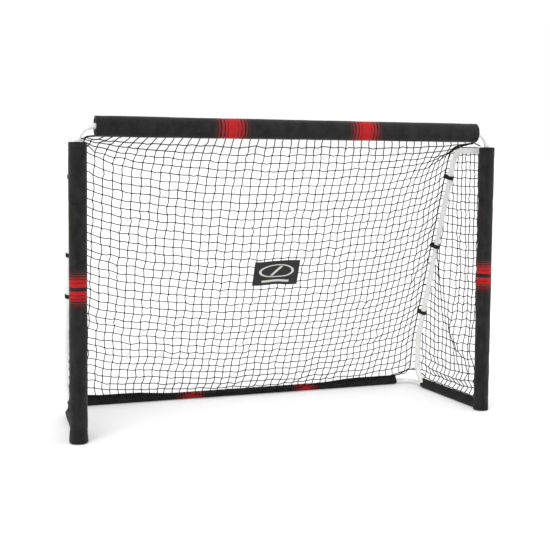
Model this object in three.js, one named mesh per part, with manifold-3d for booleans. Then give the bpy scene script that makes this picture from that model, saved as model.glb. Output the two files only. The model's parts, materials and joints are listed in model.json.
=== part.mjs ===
// Portable goal: steel tube frame, padded sleeves and a knotted net.
// Millimetres. +X to the goal's right seen from the front, +Y to the back, +Z up.
// The design frame has the two front posts on the plane y = 0; the exported group is moved so that
// the origin is at the middle of the footprint, on the ground.
import * as THREE from 'three';
import Module from 'manifold-3d';
import { mergeVertices } from 'three/addons/utils/BufferGeometryUtils.js';

const wasm = await Module();
wasm.setup();

// Frame
const POST_X = 1142;             // post axis at the ground, from the middle
// By side (-1 left, 1 right): a post's lean in towards the top, mm per mm of height, and the angle
// in radians by which its hoop leans in towards the back.
const POST_LEAN = { [-1]: 0.0045, 1: 0.0117 };
const TOE = { [-1]: 0.084, 1: 0.06 };
const BAR_Z = 1557;              // crossbar axis above ground
const TUBE_R = 16;
const TUBE_BORE = 14.8;
const SPIGOT_R = 14.5;           // tube ends that plug into the main tube
const SPIGOT_BORE = 13.3;
const CORNER_R = 77;             // centreline bend of the top corner
const POST_TOP = 1436;
const POST_BOTTOM = 2.6;
const BAR_HALF = 1040;           // crossbar tube, half length
const CORNER_PLUG = 100;         // length of a corner leg inside its tube

// Side hoop, in the plane of the hoop: y from the post axis, z from the ground
const ARM_Z = 1460;
const HOOP_START = 24;
const HOOP_TOP_Y = 310;          // corner where arm and leg would meet
const HOOP_TOP_R = 90;
const LEG_KNEE = [688, 300];
const LEG_KNEE_R = 150;
const LEG_FOOT_Y = 691;
const LEG_FOOT_R = 118;
const GROUND_Z = 18;             // axis of the tubes that lie on the ground
const HOOP_END = 500;
const ARM_SPIGOT_END = 95;
const FOOT_SPIGOT_END = 100;
const GROUND_BAR_START = 20;
const GROUND_BAR_PLUG = 75;

// Rear bar and its curved stubs
const REAR_Y = 765;
const REAR_STUB_R = 85;
const REAR_STUB_END = 925;
const REAR_BAR_HALF = 992;

// Padding and sleeves
const CLOTH = 2.4;
const PAD_R = 41;
const PAD_FLARE = 43.5;
const PAD_FLARE_Z = 70;
const FOAM_BORE = 20;
const PAD_TOP = 1481;
const PAD_BOTTOM = 3;
const PAD_NOTCH = 20;            // half width of the sleeve slots for arm and ground bar
const BAR_PAD_R = 51.5;
const BAR_PAD_FLAT = 0.88;       // the crossbar pad is a little flatter front to back
const BAR_PAD_HALF = 1059;
const BAR_PAD_ROUND = 27;
const REAR_SLEEVE = { half: 985, width: 48, height: 58, cloth: 1.6 };
const SIDE_SLEEVE = { start: 46, end: { [-1]: 560, 1: 624 }, width: 48, height: 60, cloth: 1.6 };

// Net
const NET_THICK = 5;
const NET_OFFSET = 27;           // back net behind the hoop's centreline
const NET_EDGE = 35;             // back net edge inside the hoop plane
const SEAM_MIDDLE = 0.157;       // where roof and back panels are laced, as a share of the net's depth
const SEAM_SIDE = 0.192;
const SEAM_CORD_R = 2;
const SEAM_GAP = 0.0022;
// How far each side net reaches past the hoop's centreline, and how far out of its plane it lies.
const SIDE_NET = {
  net_side_left: { offset: -22, out: -10 },
  net_side_right: { offset: 20, out: 20.6 },
};
const SIDE_NET_THICK = 3;
const CORD_R = 3.5;
const CORD_BACK = 20;
const CORD_IN = 26;
const STRAP_HEIGHTS = { left: [1305, 890, 660], right: [1305, 890, 470] };
const STRAP_NAMES = ['upper', 'middle', 'lower'];
const STRAP_WIDTH = 22;
const STRAP_CLOTH = 2;
const LABEL = { width: 262, height: 148, thick: 2, x: 4, v: 0.478 };

// Snap buttons
const PIN_R = 3.5;
const PIN_TOP = 19;
const PIN_HOLE = 3.9;
const LEAF_TOP = 11;
const LEAF_THICK = 0.8;
const LEAF_WIDTH = 7;
const LEAF_RUN = 30;
const LEAF_FLOOR = 12.5;

const SIDES = 16;
const SIDE_SIGN = { left: -1, right: 1 };

function material(color, roughness, metalness) {
  return new THREE.MeshStandardMaterial({ color, roughness, metalness });
}

const MATERIALS = {
  powder: material(0xe9e9e7, 0.35, 0.1),
  cloth: material(0x1d1c1d, 0.75, 0),
  ground_cloth: material(0x161617, 0.85, 0),
  foam: material(0x4b4b4d, 0.95, 0),
  plastic: material(0x1a1a1b, 0.5, 0),
  spring: material(0x8f9296, 0.3, 1),
  net: material(0x101011, 0.85, 0),
  strap: material(0x0d0d0e, 0.9, 0),
  label: material(0x151516, 0.6, 0),
};

const goal = new THREE.Group();
goal.name = 'portable_goal';

function place(name, geometry, slot, parent = goal) {
  const mesh = new THREE.Mesh(geometry, MATERIALS[slot]);
  mesh.name = name;
  parent.add(mesh);
  return mesh;
}

// ---- solids ----------------------------------------------------------------------------------

function toSolid(geometry) {
  const bare = geometry.clone();
  bare.deleteAttribute('normal');
  bare.deleteAttribute('uv');
  const merged = mergeVertices(bare, 1e-4);
  return new wasm.Manifold(new wasm.Mesh({
    numProp: 3,
    vertProperties: new Float32Array(merged.attributes.position.array),
    triVerts: new Uint32Array(merged.index.array),
  }));
}

function toGeometry(solid) {
  const { vertProperties, triVerts } = solid.getMesh();
  const geometry = new THREE.BufferGeometry();
  geometry.setAttribute('position', new THREE.BufferAttribute(vertProperties, 3));
  geometry.setIndex(new THREE.BufferAttribute(triVerts, 1));
  geometry.computeVertexNormals();
  return geometry;
}

function cut(body, ...tools) {
  return tools.reduce((rest, tool) => rest.subtract(tool), body);
}

// A path of straight runs with rounded corners. Straight runs take one step, bends several.
class BentPath extends THREE.Curve {
  constructor(corners, radii, stepsPerBend = 7) {
    super();
    this.stations = [{ point: corners[0], tangent: corners[1].clone().sub(corners[0]).normalize() }];
    for (let i = 1; i < corners.length - 1; i++) {
      this.addBend(corners[i - 1], corners[i], corners[i + 1], radii[i - 1], stepsPerBend);
    }
    const last = corners.length - 1;
    const tangent = corners[last].clone().sub(corners[last - 1]).normalize();
    this.stations.push({ point: corners[last], tangent });
  }

  addBend(before, corner, after, radius, steps) {
    const into = corner.clone().sub(before).normalize();
    const out = after.clone().sub(corner).normalize();
    const angle = into.angleTo(out);
    const reach = radius * Math.tan(angle / 2);
    const start = corner.clone().addScaledVector(into, -reach);
    const side = out.clone().addScaledVector(into, -out.dot(into)).normalize();
    const count = Math.max(2, Math.round((steps * angle) / (Math.PI / 2)));
    for (let k = 0; k <= count; k++) {
      const turn = (angle * k) / count;
      const point = start.clone()
        .addScaledVector(into, radius * Math.sin(turn))
        .addScaledVector(side, radius * (1 - Math.cos(turn)));
      const tangent = into.clone().multiplyScalar(Math.cos(turn)).addScaledVector(side, Math.sin(turn));
      this.stations.push({ point, tangent });
    }
  }

  get steps() {
    return this.stations.length - 1;
  }

  station(t) {
    return this.stations[Math.round(t * this.steps)];
  }

  getUtoTmapping(u) {
    return u;
  }

  getPoint(t) {
    return this.station(t).point.clone();
  }

  getTangent(t) {
    return this.station(t).tangent.clone();
  }
}

const vec = (x, y, z) => new THREE.Vector3(x, y, z);

// A bore's flats sit at its stated radius, so that what plugs in always clears it.
const boreRadius = (radius) => radius / Math.cos(Math.PI / SIDES);

function circle(radius) {
  return new THREE.Shape().absarc(0, 0, radius, 0, 2 * Math.PI, false);
}

function bent(path, shape, sides = SIDES) {
  const options = { steps: path.steps, extrudePath: path, bevelEnabled: false, curveSegments: sides / 2 };
  return new THREE.ExtrudeGeometry(shape, options);
}

function rod(corners, radii, radius, sides) {
  return toSolid(bent(new BentPath(corners, radii), circle(radius), sides));
}

function straight(from, to, radius, sides) {
  return rod([from, to], [], radius, sides);
}

function tube(from, to, outer, inner) {
  const along = to.clone().sub(from).normalize();
  const bore = straight(from.clone().sub(along), to.clone().add(along), boreRadius(inner));
  return cut(straight(from, to, outer), bore);
}

function block(low, high) {
  const size = high.clone().sub(low);
  const box = new THREE.BoxGeometry(size.x, size.y, size.z);
  const middle = low.clone().add(high).multiplyScalar(0.5);
  return toSolid(box.translate(middle.x, middle.y, middle.z));
}

// Profile of [radius, height] pairs turned about Y.
function lathe(profile, sides) {
  return new THREE.LatheGeometry(profile.map(([radius, height]) => new THREE.Vector2(radius, height)), sides);
}

// Ring solid from a closed profile, standing on Z.
function turned(profile) {
  return lathe([...profile, profile[0]], 24).rotateX(Math.PI / 2);
}

// ---- the posts' lean and the side hoop's plane ---------------------------------------------------

const postX = (side, z) => POST_X - POST_LEAN[side] * z;

function onPost(side, z) {
  return vec(side * postX(side, z), 0, z);
}

// Leans a shape that was made round the upright line x = 0 as the posts lean.
function lean(shape, side) {
  const shear = new THREE.Matrix4().makeShear(0, 0, 0, 0, -side * POST_LEAN[side], 0);
  return shape.applyMatrix4(shear.setPosition(side * POST_X, 0, 0));
}

// Turns a point in the plane of a side hoop (out = away from the goal) into the design frame.
function inHoopPlane(side, out, y, z) {
  const [c, s] = [Math.cos(TOE[side]), Math.sin(TOE[side])];
  return vec(side * (postX(side, z) + out * c - y * s), y * c + out * s, z);
}

const hoopCorners = [
  [HOOP_START, ARM_Z],
  [HOOP_TOP_Y, ARM_Z],
  LEG_KNEE,
  [LEG_FOOT_Y, GROUND_Z],
  [HOOP_END, GROUND_Z],
];
const hoopRadii = [HOOP_TOP_R, LEG_KNEE_R, LEG_FOOT_R];

// The hoop's rear outline moved outwards: the corner where two moved edges meet.
function hoopOutlineCorners(offset) {
  const legUp = new THREE.Vector2(HOOP_TOP_Y - LEG_KNEE[0], ARM_Z - LEG_KNEE[1]).normalize();
  const outward = new THREE.Vector2(legUp.y, -legUp.x);
  const topY = HOOP_TOP_Y + (offset * (1 - outward.y)) / outward.x;
  const knee = [LEG_KNEE[0] + offset, LEG_KNEE[1] + (offset * (1 - outward.x)) / outward.y];
  return { top: [topY, ARM_Z + offset], knee };
}

// ---- frame tubes ------------------------------------------------------------------------------

function postTube(name, side) {
  const at = (z) => onPost(side, z);
  const spigotEnd = inHoopPlane(side, 0, FOOT_SPIGOT_END, GROUND_Z);
  const spigot = straight(at(GROUND_Z), spigotEnd, SPIGOT_R);
  const body = straight(at(POST_BOTTOM), at(POST_TOP), TUBE_R).add(spigot);
  const bore = straight(at(POST_BOTTOM - 1), at(POST_TOP + 1), boreRadius(TUBE_BORE));
  const spigotBore = straight(
    inHoopPlane(side, 0, TUBE_R, GROUND_Z),
    inHoopPlane(side, 0, FOOT_SPIGOT_END + 1, GROUND_Z),
    boreRadius(SPIGOT_BORE),
  );
  place(name, toGeometry(cut(body, bore, spigotBore, snapHole(snapSeat(side, 'post')))), 'powder');
}

function topCorner(name, side) {
  const elbow = [
    onPost(side, POST_TOP - CORNER_PLUG),
    onPost(side, BAR_Z),
    vec(side * (BAR_HALF - CORNER_PLUG), 0, BAR_Z),
  ];
  const below = onPost(side, POST_TOP - CORNER_PLUG - 1);
  const long = [below, elbow[1], elbow[2].clone().setX(elbow[2].x - side)];
  const spigotEnd = inHoopPlane(side, 0, ARM_SPIGOT_END, ARM_Z);
  const beyond = inHoopPlane(side, 0, ARM_SPIGOT_END + 1, ARM_Z);
  const root = onPost(side, ARM_Z);
  const body = rod(elbow, [CORNER_R], SPIGOT_R).add(straight(root, spigotEnd, SPIGOT_R));
  const mainBore = rod(long, [CORNER_R], boreRadius(SPIGOT_BORE));
  const armBore = straight(root, beyond, boreRadius(SPIGOT_BORE));
  const holes = ['post', 'bar', 'arm'].map((where) => snapHole(snapSeat(side, where)));
  place(name, toGeometry(cut(body, mainBore, armBore, ...holes)), 'powder');
}

function crossbarTube() {
  const bar = tube(vec(-BAR_HALF, 0, BAR_Z), vec(BAR_HALF, 0, BAR_Z), TUBE_R, TUBE_BORE);
  const holes = [-1, 1].map((side) => snapHole(snapSeat(side, 'bar')));
  place('crossbar_tube', toGeometry(cut(bar, ...holes)), 'powder');
}

function sideHoop(name, side) {
  const corners = hoopCorners.map(([y, z]) => inHoopPlane(side, 0, y, z));
  const start = inHoopPlane(side, 0, HOOP_START - 1, ARM_Z);
  const end = inHoopPlane(side, 0, HOOP_END - 1, GROUND_Z);
  const bore = rod([start, ...corners.slice(1, -1), end], hoopRadii, boreRadius(TUBE_BORE));
  const stubStart = inHoopPlane(side, 0, LEG_FOOT_Y - LEG_FOOT_R + 52, GROUND_Z);
  const stubCorner = inHoopPlane(side, 0, REAR_Y / Math.cos(TOE[side]), GROUND_Z);
  const stubEnd = vec(side * REAR_STUB_END, REAR_Y, GROUND_Z);
  const boreStart = stubStart.clone().setY(stubStart.y - 1);
  const boreEnd = stubEnd.clone().setX(side * (REAR_STUB_END - 1));
  const stubBore = rod([boreStart, stubCorner, boreEnd], [REAR_STUB_R], boreRadius(SPIGOT_BORE));
  const stub = cut(rod([stubStart, stubCorner, stubEnd], [REAR_STUB_R], SPIGOT_R), stubBore);
  const body = rod(corners, hoopRadii, TUBE_R).add(stub);
  place(name, toGeometry(cut(body, bore, snapHole(snapSeat(side, 'arm')))), 'powder');
}

function groundBar(name, side) {
  const shoulder = HOOP_END - 0.4;
  const end = HOOP_END + GROUND_BAR_PLUG;
  const at = (y) => inHoopPlane(side, 0, y, GROUND_Z);
  const plug = straight(at(shoulder - 5), at(end), SPIGOT_R);
  const body = straight(at(GROUND_BAR_START), at(shoulder), TUBE_R).add(plug);
  const wide = straight(at(GROUND_BAR_START - 1), at(shoulder - 30), boreRadius(TUBE_BORE));
  const narrow = straight(at(shoulder - 31), at(end + 1), boreRadius(SPIGOT_BORE));
  place(name, toGeometry(cut(body, wide, narrow)), 'powder');
}

function rearBar() {
  const at = (x) => vec(x, REAR_Y, GROUND_Z);
  const bar = tube(at(-REAR_BAR_HALF), at(REAR_BAR_HALF), TUBE_R, TUBE_BORE);
  place('rear_bar', toGeometry(bar), 'powder');
}

function postFoot(name, side) {
  const plug = TUBE_BORE - 0.5;
  const floor = POST_BOTTOM - 0.3;
  const profile = [[0, 0], [TUBE_R, 0], [TUBE_R, floor], [plug, floor], [plug, 22], [plug - 2, 24], [0, 24]];
  const geometry = lathe(profile, SIDES).rotateX(Math.PI / 2);
  place(name, geometry, 'plastic').position.x = side * POST_X;
}

// ---- snap buttons -----------------------------------------------------------------------------

// A snap button's place: its centre on the tube axis, the way it points, the way its spring runs.
function snapSeat(side, where) {
  if (where === 'post') {
    return { centre: onPost(side, POST_TOP - 50), up: vec(0, 1, 0), along: vec(0, 0, 1) };
  }
  if (where === 'bar') {
    return { centre: vec(side * (BAR_HALF - 45), 0, BAR_Z), up: vec(0, 1, 0), along: vec(side, 0, 0) };
  }
  const centre = inHoopPlane(side, 0, 66, ARM_Z);
  const along = inHoopPlane(side, 0, 0, ARM_Z).sub(centre).normalize();
  return { centre, up: vec(0, 0, -1), along };
}

function snapHole({ centre, up }) {
  return straight(centre, centre.clone().addScaledVector(up, TUBE_R + 4), PIN_HOLE, 12);
}

// Local x runs along the tube, local y points out of the hole.
function snapFrame({ centre, up, along }) {
  const group = new THREE.Group();
  group.position.copy(centre);
  const across = new THREE.Vector3().crossVectors(along, up);
  group.quaternion.setFromRotationMatrix(new THREE.Matrix4().makeBasis(along, up, across));
  goal.add(group);
  return group;
}

function snapButton(name, seat) {
  const foot = LEAF_TOP - 0.4;
  const profile = [[0, foot], [PIN_R, foot], [PIN_R, PIN_TOP - 1.5], [PIN_R - 1.4, PIN_TOP], [0, PIN_TOP]];
  const pin = toSolid(lathe(profile, 12));
  const halfWidth = LEAF_WIDTH / 2;
  const leaf = block(vec(-6, LEAF_TOP - LEAF_THICK, -halfWidth), vec(LEAF_RUN - 0.4, LEAF_TOP, halfWidth));
  place(name, toGeometry(pin.add(leaf)), 'spring', snapFrame(seat));
}

function snapSpring(name, seat) {
  const middle = (LEAF_TOP - LEAF_FLOOR) / 2;
  const bend = (LEAF_TOP + LEAF_FLOOR) / 2;
  const shape = new THREE.Shape();
  shape.moveTo(-6, -LEAF_FLOOR);
  shape.lineTo(LEAF_RUN, -LEAF_FLOOR);
  shape.absarc(LEAF_RUN, middle, bend, -Math.PI / 2, Math.PI / 2, false);
  shape.absarc(LEAF_RUN, middle, bend - LEAF_THICK, Math.PI / 2, -Math.PI / 2, true);
  shape.lineTo(-6, -LEAF_FLOOR + LEAF_THICK);
  shape.closePath();
  const options = { depth: LEAF_WIDTH, bevelEnabled: false, curveSegments: 5 };
  const strip = new THREE.ExtrudeGeometry(shape, options).translate(0, 0, -LEAF_WIDTH / 2);
  place(name, strip, 'spring', snapFrame(seat));
}

// ---- padding and sleeves ----------------------------------------------------------------------

function postFoam(name, side) {
  const outer = PAD_R - CLOTH - 0.5;
  const low = GROUND_Z + TUBE_R + 14;
  const high = ARM_Z - TUBE_R - 8;
  const ring = turned([[FOAM_BORE, low], [outer, low], [outer, high], [FOAM_BORE, high]]);
  place(name, lean(ring, side), 'foam');
}

function crossbarFoam() {
  const outer = BAR_PAD_R - CLOTH - 0.8;
  const shape = new THREE.Shape().absellipse(0, 0, outer * BAR_PAD_FLAT, outer, 0, 2 * Math.PI, false);
  shape.holes.push(new THREE.Path().absarc(0, 0, FOAM_BORE, 0, 2 * Math.PI, true));
  const half = BAR_PAD_HALF - BAR_PAD_ROUND - 3;
  const options = { depth: 2 * half, bevelEnabled: false, curveSegments: 12 };
  const foam = new THREE.ExtrudeGeometry(shape, options);
  foam.rotateY(Math.PI / 2).rotateX(Math.PI / 2).translate(-half, 0, BAR_Z);
  place('crossbar_foam', foam, 'foam');
}

function postSleeve(name, side) {
  const inner = PAD_R - CLOTH;
  const collar = 19;
  const profile = [
    [PAD_FLARE - CLOTH, PAD_BOTTOM],
    [PAD_FLARE, PAD_BOTTOM],
    [PAD_R, PAD_FLARE_Z],
    [PAD_R, PAD_TOP - 3],
    [PAD_R - 3, PAD_TOP],
    [collar, PAD_TOP],
    [collar, PAD_TOP - CLOTH],
    [inner, PAD_TOP - CLOTH],
    [inner, PAD_FLARE_Z],
  ];
  const shell = toSolid(turned(profile));
  const armSlot = block(vec(-PAD_NOTCH, 4, ARM_Z - TUBE_R - 3), vec(PAD_NOTCH, 60, PAD_TOP + 5));
  const barSlot = block(vec(-PAD_NOTCH, 4, 0), vec(PAD_NOTCH, 60, GROUND_Z + TUBE_R + 3));
  place(name, lean(toGeometry(cut(shell, armSlot, barSlot)), side), 'cloth');
}

function crossbarSleeve() {
  const half = BAR_PAD_HALF;
  const collar = 20;
  const round = BAR_PAD_ROUND - CLOTH;
  const outer = [];
  const inner = [];
  for (const end of [-1, 1]) {
    for (let k = 0; k <= 3; k++) {
      const angle = ((end < 0 ? k : 3 - k) * Math.PI) / 6;
      const lift = Math.sin(angle);
      const reach = 1 - Math.cos(angle);
      outer.push([BAR_PAD_R - BAR_PAD_ROUND * (1 - lift), end * (half - BAR_PAD_ROUND * reach)]);
      inner.push([BAR_PAD_R - BAR_PAD_ROUND + round * lift, end * (half - CLOTH - round * reach)]);
    }
  }
  const profile = [
    [collar, -half],
    ...outer,
    [collar, half],
    [collar, half - CLOTH],
    ...inner.reverse(),
    [collar, CLOTH - half],
  ];
  const shell = turned(profile).rotateY(Math.PI / 2);
  shell.scale(1, BAR_PAD_FLAT, 1).translate(0, 0, BAR_Z);
  place('crossbar_sleeve', shell, 'cloth');
}

// Fabric tube round a ground bar: an upright oval that the bar lies in the bottom of.
function ovalSleeve({ width, height, cloth }, length) {
  const middle = height / 2;
  const inside = [width / 2 - cloth, middle - cloth];
  const shape = new THREE.Shape().absellipse(0, middle, width / 2, middle, 0, 2 * Math.PI, false);
  shape.holes.push(new THREE.Path().absellipse(0, middle, ...inside, 0, 2 * Math.PI, true));
  const options = { depth: length, bevelEnabled: false, curveSegments: 14 };
  return new THREE.ExtrudeGeometry(shape, options).rotateX(Math.PI / 2).translate(0, length, 0);
}

function rearSleeve() {
  const geometry = ovalSleeve(REAR_SLEEVE, 2 * REAR_SLEEVE.half).rotateZ(-Math.PI / 2);
  place('rear_sleeve', geometry, 'ground_cloth').position.set(-REAR_SLEEVE.half, REAR_Y, 0);
}

function sideSleeve(name, side) {
  const length = SIDE_SLEEVE.end[side] - SIDE_SLEEVE.start;
  const mesh = place(name, ovalSleeve(SIDE_SLEEVE, length), 'ground_cloth');
  mesh.position.copy(inHoopPlane(side, 0, SIDE_SLEEVE.start, 0));
  mesh.rotation.z = side * TOE[side];
}

// ---- net --------------------------------------------------------------------------------------

// Samples a 2-D outline with rounded corners at equal steps of its length.
function outlineCurve(corners, radii) {
  const path = new BentPath(corners.map(([y, z]) => vec(0, y, z)), radii, 6);
  const curve = new THREE.CurvePath();
  for (let i = 0; i < path.steps; i++) {
    curve.add(new THREE.LineCurve3(path.stations[i].point, path.stations[i + 1].point));
  }
  return curve;
}

const netShape = hoopOutlineCorners(NET_OFFSET);
const NET_FOOT = [LEG_FOOT_Y + NET_OFFSET + 14, 70];
const netEdge = outlineCurve(
  [[70, 1492], netShape.top, netShape.knee, NET_FOOT],
  [HOOP_TOP_R + NET_OFFSET, LEG_KNEE_R],
);
const NET_MIDDLE_POINTS = [
  [42, 1500],
  [92, 1380],
  [160, 1250],
  [262, 930],
  [430, 520],
  [615, 195],
  [742, 70],
];
const netMiddle = new THREE.CatmullRomCurve3(NET_MIDDLE_POINTS.map(([y, z]) => vec(0, y, z)));

// How far the back net reaches to one side at a point's depth and height.
function netHalf(side, { y, z }) {
  return postX(side, z) - NET_EDGE - y * Math.tan(TOE[side]);
}

// Point on the back net: u from -1 to 1 across, v from 0 at the crossbar to 1 at the rear bar.
function backNetPoint(u, v, lift) {
  const sag = 1 - Math.abs(u) ** 2.2;
  const at = (t) => netEdge.getPointAt(t).lerp(netMiddle.getPointAt(t), sag);
  const [before, after] = [at(Math.max(0, v - 0.01)), at(Math.min(1, v + 0.01))];
  const along = after.sub(before).normalize();
  const point = at(v).add(vec(0, -along.z, along.y).multiplyScalar(lift));
  return point.setX(u * netHalf(Math.sign(u) || 1, point));
}

// Height of the seam on the net: higher up in the middle than at the hoops.
const seamAt = (u) => THREE.MathUtils.lerp(SEAM_MIDDLE, SEAM_SIDE, u * u);

// Thin closed panel laid on the net between two values of u; from and to give its ends at each u.
function panelOnNet(uRange, from, to, [columns, rows], thick, lift) {
  const box = new THREE.BoxGeometry(1, 1, 1, columns, rows, 1);
  const position = box.attributes.position;
  for (let i = 0; i < position.count; i++) {
    const u = THREE.MathUtils.lerp(uRange[0], uRange[1], position.getX(i) + 0.5);
    const v = THREE.MathUtils.lerp(from(u), to(u), position.getY(i) + 0.5);
    const point = backNetPoint(u, v, lift + thick * position.getZ(i));
    position.setXYZ(i, point.x, point.y, point.z);
  }
  // Both faces of the panel share their diagonals, so that twisted quads keep the full thickness.
  const { start, count } = box.groups[5];
  for (let i = start; i < start + count; i += 6) {
    const [a, b, d, , c] = box.index.array.slice(i, i + 6);
    box.index.array.set([a, b, c, a, c, d], i);
  }
  box.computeVertexNormals();
  return box;
}

function backNet() {
  const above = (u) => seamAt(u) - SEAM_GAP;
  const below = (u) => seamAt(u) + SEAM_GAP;
  place('net_roof', panelOnNet([-1, 1], () => 0, above, [14, 4], NET_THICK, 0), 'net');
  place('net_back', panelOnNet([-1, 1], below, () => 1, [12, 16], NET_THICK, 0), 'net');
}

function seamCord() {
  const points = [];
  for (let k = 0; k <= 24; k++) {
    const u = -0.995 + (1.99 * k) / 24;
    points.push(backNetPoint(u, seamAt(u), 0));
  }
  const path = new THREE.CatmullRomCurve3(points, false, 'centripetal');
  const options = { steps: 24, extrudePath: path, bevelEnabled: false, curveSegments: 4 };
  place('net_seam_cord', new THREE.ExtrudeGeometry(circle(SEAM_CORD_R), options), 'net');
}

// The right net passes outside its hoop, the left one hangs inside it, as they were tied.
function sideNet(name, side) {
  const { offset, out } = SIDE_NET[name];
  const { top, knee } = hoopOutlineCorners(offset);
  const front = 47;
  const low = SIDE_SLEEVE.height + 3;
  const corners = [[front, ARM_Z + offset], top, knee, [LEG_FOOT_Y + offset, low + 39]];
  const path = new BentPath(corners.map(([y, z]) => vec(0, y, z)), [HOOP_TOP_R + offset, LEG_KNEE_R], 6);
  const outline = path.stations.map(({ point }) => new THREE.Vector2(point.y, point.z));
  const hem = [[624, low + 10], [616, low], [front, low]].map(([y, z]) => new THREE.Vector2(y, z));
  const shape = new THREE.Shape([...outline, ...hem].reverse());
  const geometry = new THREE.ExtrudeGeometry(shape, { depth: SIDE_NET_THICK, bevelEnabled: false });
  geometry.rotateX(Math.PI / 2).rotateZ(Math.PI / 2);
  geometry.translate(side * out - SIDE_NET_THICK / 2, 0, 0).rotateZ(side * TOE[side]);
  place(name, lean(geometry, side), 'net');
}

function cornerCord(name, side) {
  const { top, knee } = hoopOutlineCorners(CORD_BACK);
  const foot = [LEG_FOOT_Y + CORD_BACK + 28, 104];
  const outline = [[98, ARM_Z + CORD_BACK + 20], top, knee, foot];
  const corners = outline.map(([y, z]) => inHoopPlane(side, -CORD_IN, y, z));
  const path = new BentPath(corners, [HOOP_TOP_R + CORD_BACK, LEG_KNEE_R], 8);
  place(name, bent(path, circle(CORD_R), 8), 'net');
}

function headCord() {
  const half = [[1040, 37, 1512], [1078, 76, 1508], [1098, 26, 1487]];
  const right = half.map(([x, y, z]) => vec(x, y, z));
  const left = half.map(([x, y, z]) => vec(-x, y, z)).reverse();
  const path = new BentPath([...left, ...right], [6, 30, 30, 6], 5);
  place('net_head_cord', bent(path, circle(CORD_R), 8), 'net');
}

// Foot cords, from the side net's corner to the rear sleeve, in the hoop's plane: the right one passes
// behind its leg, the left one in front of it.
const FOOT_CORD = {
  [-1]: [[-21, 632, 66], [-21, 672, 76], [-22, 712, 88], [-26, 744, 92], [-50, 758, 86], [-96, 768, 66]],
  1: [[21, 632, 66], [21, 708, 84], [8, 734, 88], [-14, 748, 90], [-40, 752, 86], [-78, 758, 75], [-96, 768, 66]],
};

function footCord(name, side) {
  const track = FOOT_CORD[side].map(([out, y, z]) => inHoopPlane(side, out, y, z));
  const path = new THREE.CatmullRomCurve3(track, false, 'centripetal');
  const options = { steps: 18, extrudePath: path, bevelEnabled: false, curveSegments: 4 };
  place(name, new THREE.ExtrudeGeometry(circle(CORD_R), options), 'net');
}

// Outline round two circles of different size, as a strap pulled tight round tube and cord.
function roundTwoCircles(radius, far, farRadius, reverse) {
  const distance = far.length();
  const heading = Math.atan2(far.y, far.x);
  const spread = Math.acos((radius - farRadius) / distance);
  const path = reverse ? new THREE.Path() : new THREE.Shape();
  path.absarc(0, 0, radius, heading + spread, heading - spread + 2 * Math.PI, false);
  path.absarc(far.x, far.y, farRadius, heading - spread, heading + spread, false);
  path.closePath();
  return path;
}

function strap(name, side, height) {
  const leg = new THREE.Vector2(LEG_KNEE[0] - HOOP_TOP_Y, LEG_KNEE[1] - ARM_Z).normalize();
  const y = HOOP_TOP_Y + ((height - ARM_Z) * leg.x) / leg.y;
  const far = new THREE.Vector2(-side * CORD_IN, CORD_BACK);
  const loop = roundTwoCircles(TUBE_R + 0.6 + STRAP_CLOTH, far, CORD_R + 1 + STRAP_CLOTH, false);
  loop.holes.push(roundTwoCircles(TUBE_R + 0.6, far, CORD_R + 1, true));
  const options = { depth: STRAP_WIDTH, bevelEnabled: false, curveSegments: 7 };
  const band = new THREE.ExtrudeGeometry(loop, options);
  band.translate(0, 0, -STRAP_WIDTH / 2).rotateX(Math.atan2(leg.x, -leg.y));
  const mesh = place(name, band, 'strap');
  mesh.position.copy(inHoopPlane(side, 0, y, height));
  mesh.rotation.z = side * TOE[side];
}

function label() {
  const middle = backNetPoint(0, LABEL.v, 0);
  const across = [-1, 1].map((side) => (LABEL.x + (side * LABEL.width) / 2) / netHalf(side, middle));
  const span = LABEL.height / netMiddle.getLength() / 2;
  const lift = -(NET_THICK / 2 + LABEL.thick / 2 + 4);
  const panel = panelOnNet(across, () => LABEL.v - span, () => LABEL.v + span, [6, 4], LABEL.thick, lift);
  place('net_label', panel, 'label');
}

// ---- assembly ---------------------------------------------------------------------------------

crossbarTube();
rearBar();
crossbarFoam();
crossbarSleeve();
rearSleeve();
backNet();
seamCord();
headCord();
label();
for (const [sideName, side] of Object.entries(SIDE_SIGN)) {
  postTube(`post_tube_${sideName}`, side);
  postFoot(`post_foot_${sideName}`, side);
  topCorner(`top_corner_${sideName}`, side);
  sideHoop(`side_hoop_${sideName}`, side);
  groundBar(`ground_bar_${sideName}`, side);
  postFoam(`post_foam_${sideName}`, side);
  postSleeve(`post_sleeve_${sideName}`, side);
  sideSleeve(`side_sleeve_${sideName}`, side);
  sideNet(`net_side_${sideName}`, side);
  cornerCord(`net_corner_cord_${sideName}`, side);
  footCord(`net_foot_cord_${sideName}`, side);
  STRAP_HEIGHTS[sideName].forEach((height, i) => strap(`strap_${sideName}_${STRAP_NAMES[i]}`, side, height));
  for (const where of ['post', 'bar', 'arm']) {
    snapButton(`snap_button_${sideName}_${where}`, snapSeat(side, where));
    snapSpring(`snap_spring_${sideName}_${where}`, snapSeat(side, where));
  }
}

const bounds = new THREE.Box3().setFromObject(goal);
goal.position.y = -(bounds.min.y + bounds.max.y) / 2;
goal.updateMatrixWorld(true);

export default goal;
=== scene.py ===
"""Looks of the portable goal: padded sleeves, knotted net, ropes, straps and label."""

import json
import math

import bpy
import numpy as np
from mathutils import Matrix, Vector, noise


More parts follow.
